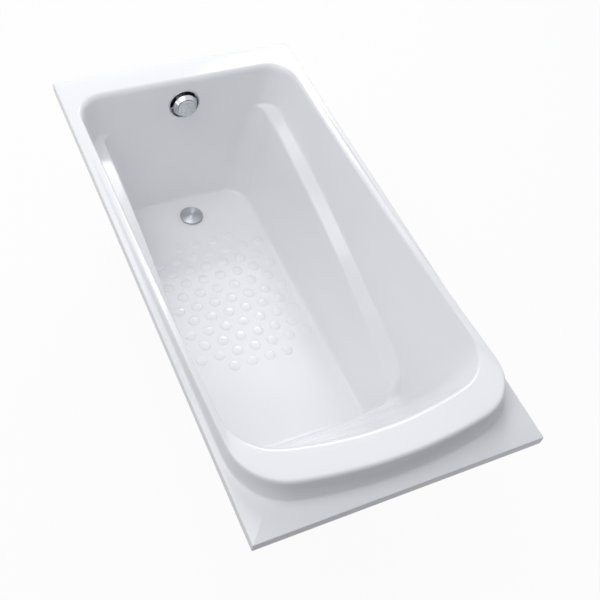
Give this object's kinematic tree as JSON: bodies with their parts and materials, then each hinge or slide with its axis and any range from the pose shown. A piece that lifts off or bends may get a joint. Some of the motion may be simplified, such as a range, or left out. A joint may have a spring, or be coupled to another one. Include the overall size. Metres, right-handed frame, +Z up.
{
  "type": "bathtub",
  "caption": "Rectangular built-in white bathtub with a raised headrest collar, moulded side armrests, dotted floor, pop-up drain and rotary overflow knob.",
  "frame": {"origin": "on the ground, under the middle of the rim's rectangle", "axes": "+X along the bath to its drain end, +Y to the left of a bather who faces the drain, +Z up"},
  "size_m": [1.5, 0.74, 0.6432],
  "materials": {
    "acrylic": "glossy white sanitary acrylic",
    "chrome_trim": "bright chrome plate",
    "black_fittings": "moulded black polypropylene",
    "black_rubber": "matt black rubber",
    "particle_board": "raw particle board",
    "softwood": "planed softwood",
    "galvanised_steel": "galvanised sheet",
    "zinc_steel": "bright zinc plate",
    "foot_plastic": "moulded black nylon",
    "white_acetal": "moulded white acetal",
    "brass": "turned brass"
  },
  "bodies": {
    "tub": {"tub_shell": "acrylic", "overflow_ring": "chrome_trim", "drain_flange": "chrome_trim", "waste_body": "black_fittings", "branch_pipe": "black_fittings", "waste_tee": "black_fittings", "overflow_pipe": "black_fittings", "overflow_body": "black_fittings", "overflow_strainer": "black_fittings", "slip_nuts": "black_fittings", "flange_seal": "black_rubber", "waste_seal": "black_rubber", "overflow_seal": "black_rubber", "slip_washers": "black_rubber", "base_board": "particle_board", "left_rim_batten": "softwood", "right_rim_batten": "softwood", "drain_end_batten": "softwood", "head_end_batten": "softwood", "head_end_leg_bar": "galvanised_steel", "drain_end_leg_bar": "galvanised_steel", "leg_bar_screws": "zinc_steel", "foot_lock_nuts": "zinc_steel", "rocker_pin": "zinc_steel"},
    "knob": {"overflow_knob": "chrome_trim", "knob_spindle": "brass", "knob_screw": "zinc_steel"},
    "lift_rod": {"lift_rod": "zinc_steel"},
    "rocker": {"rocker_arm": "white_acetal"},
    "plug": {"plug_cap": "chrome_trim", "plug_stem": "brass", "plug_seal": "black_rubber", "stem_clip": "zinc_steel"},
    "foot_head_end_left": {"foot_stud_head_end_left": "zinc_steel", "foot_pad_head_end_left": "foot_plastic"},
    "foot_head_end_right": {"foot_stud_head_end_right": "zinc_steel", "foot_pad_head_end_right": "foot_plastic"},
    "foot_drain_end_left": {"foot_stud_drain_end_left": "zinc_steel", "foot_pad_drain_end_left": "foot_plastic"},
    "foot_drain_end_right": {"foot_stud_drain_end_right": "zinc_steel", "foot_pad_drain_end_right": "foot_plastic"}
  },
  "joints": [
    {"name": "knob_turn", "type": "hinge", "parent": "tub", "child": "knob", "pos_m": [0.65783, 0, 0.494], "axis": [0.9974, 0, -0.0715], "range_deg": [0, 90]},
    {"name": "rod_slide", "type": "slide", "parent": "tub", "child": "lift_rod", "axis": [0, 0, -1], "range_m": [0, 0.01273]},
    {"name": "rocker_tilt", "type": "hinge", "parent": "tub", "child": "rocker", "pos_m": [0.62, 0, 0.062], "axis": [0, 1, 0], "range_deg": [0, 8.79]},
    {"name": "plug_lift", "type": "slide", "parent": "tub", "child": "plug", "axis": [0, 0, 1], "range_m": [0, 0.0115]},
    {"name": "foot_head_end_left_screw", "type": "slide", "parent": "tub", "child": "foot_head_end_left", "axis": [0, 0, -1], "range_m": [0, 0.01]},
    {"name": "foot_head_end_right_screw", "type": "slide", "parent": "tub", "child": "foot_head_end_right", "axis": [0, 0, -1], "range_m": [0, 0.01]},
    {"name": "foot_drain_end_left_screw", "type": "slide", "parent": "tub", "child": "foot_drain_end_left", "axis": [0, 0, -1], "range_m": [0, 0.01]},
    {"name": "foot_drain_end_right_screw", "type": "slide", "parent": "tub", "child": "foot_drain_end_right", "axis": [0, 0, -1], "range_m": [0, 0.01]}
  ],
  "couplings": [
    {"joint": "rod_slide", "follows": "knob_turn", "m_per_rad": 0.0081028},
    {"joint": "rocker_tilt", "follows": "knob_turn", "ratio": 0.09772},
    {"joint": "plug_lift", "follows": "knob_turn", "m_per_rad": 0.0073218}
  ]
}
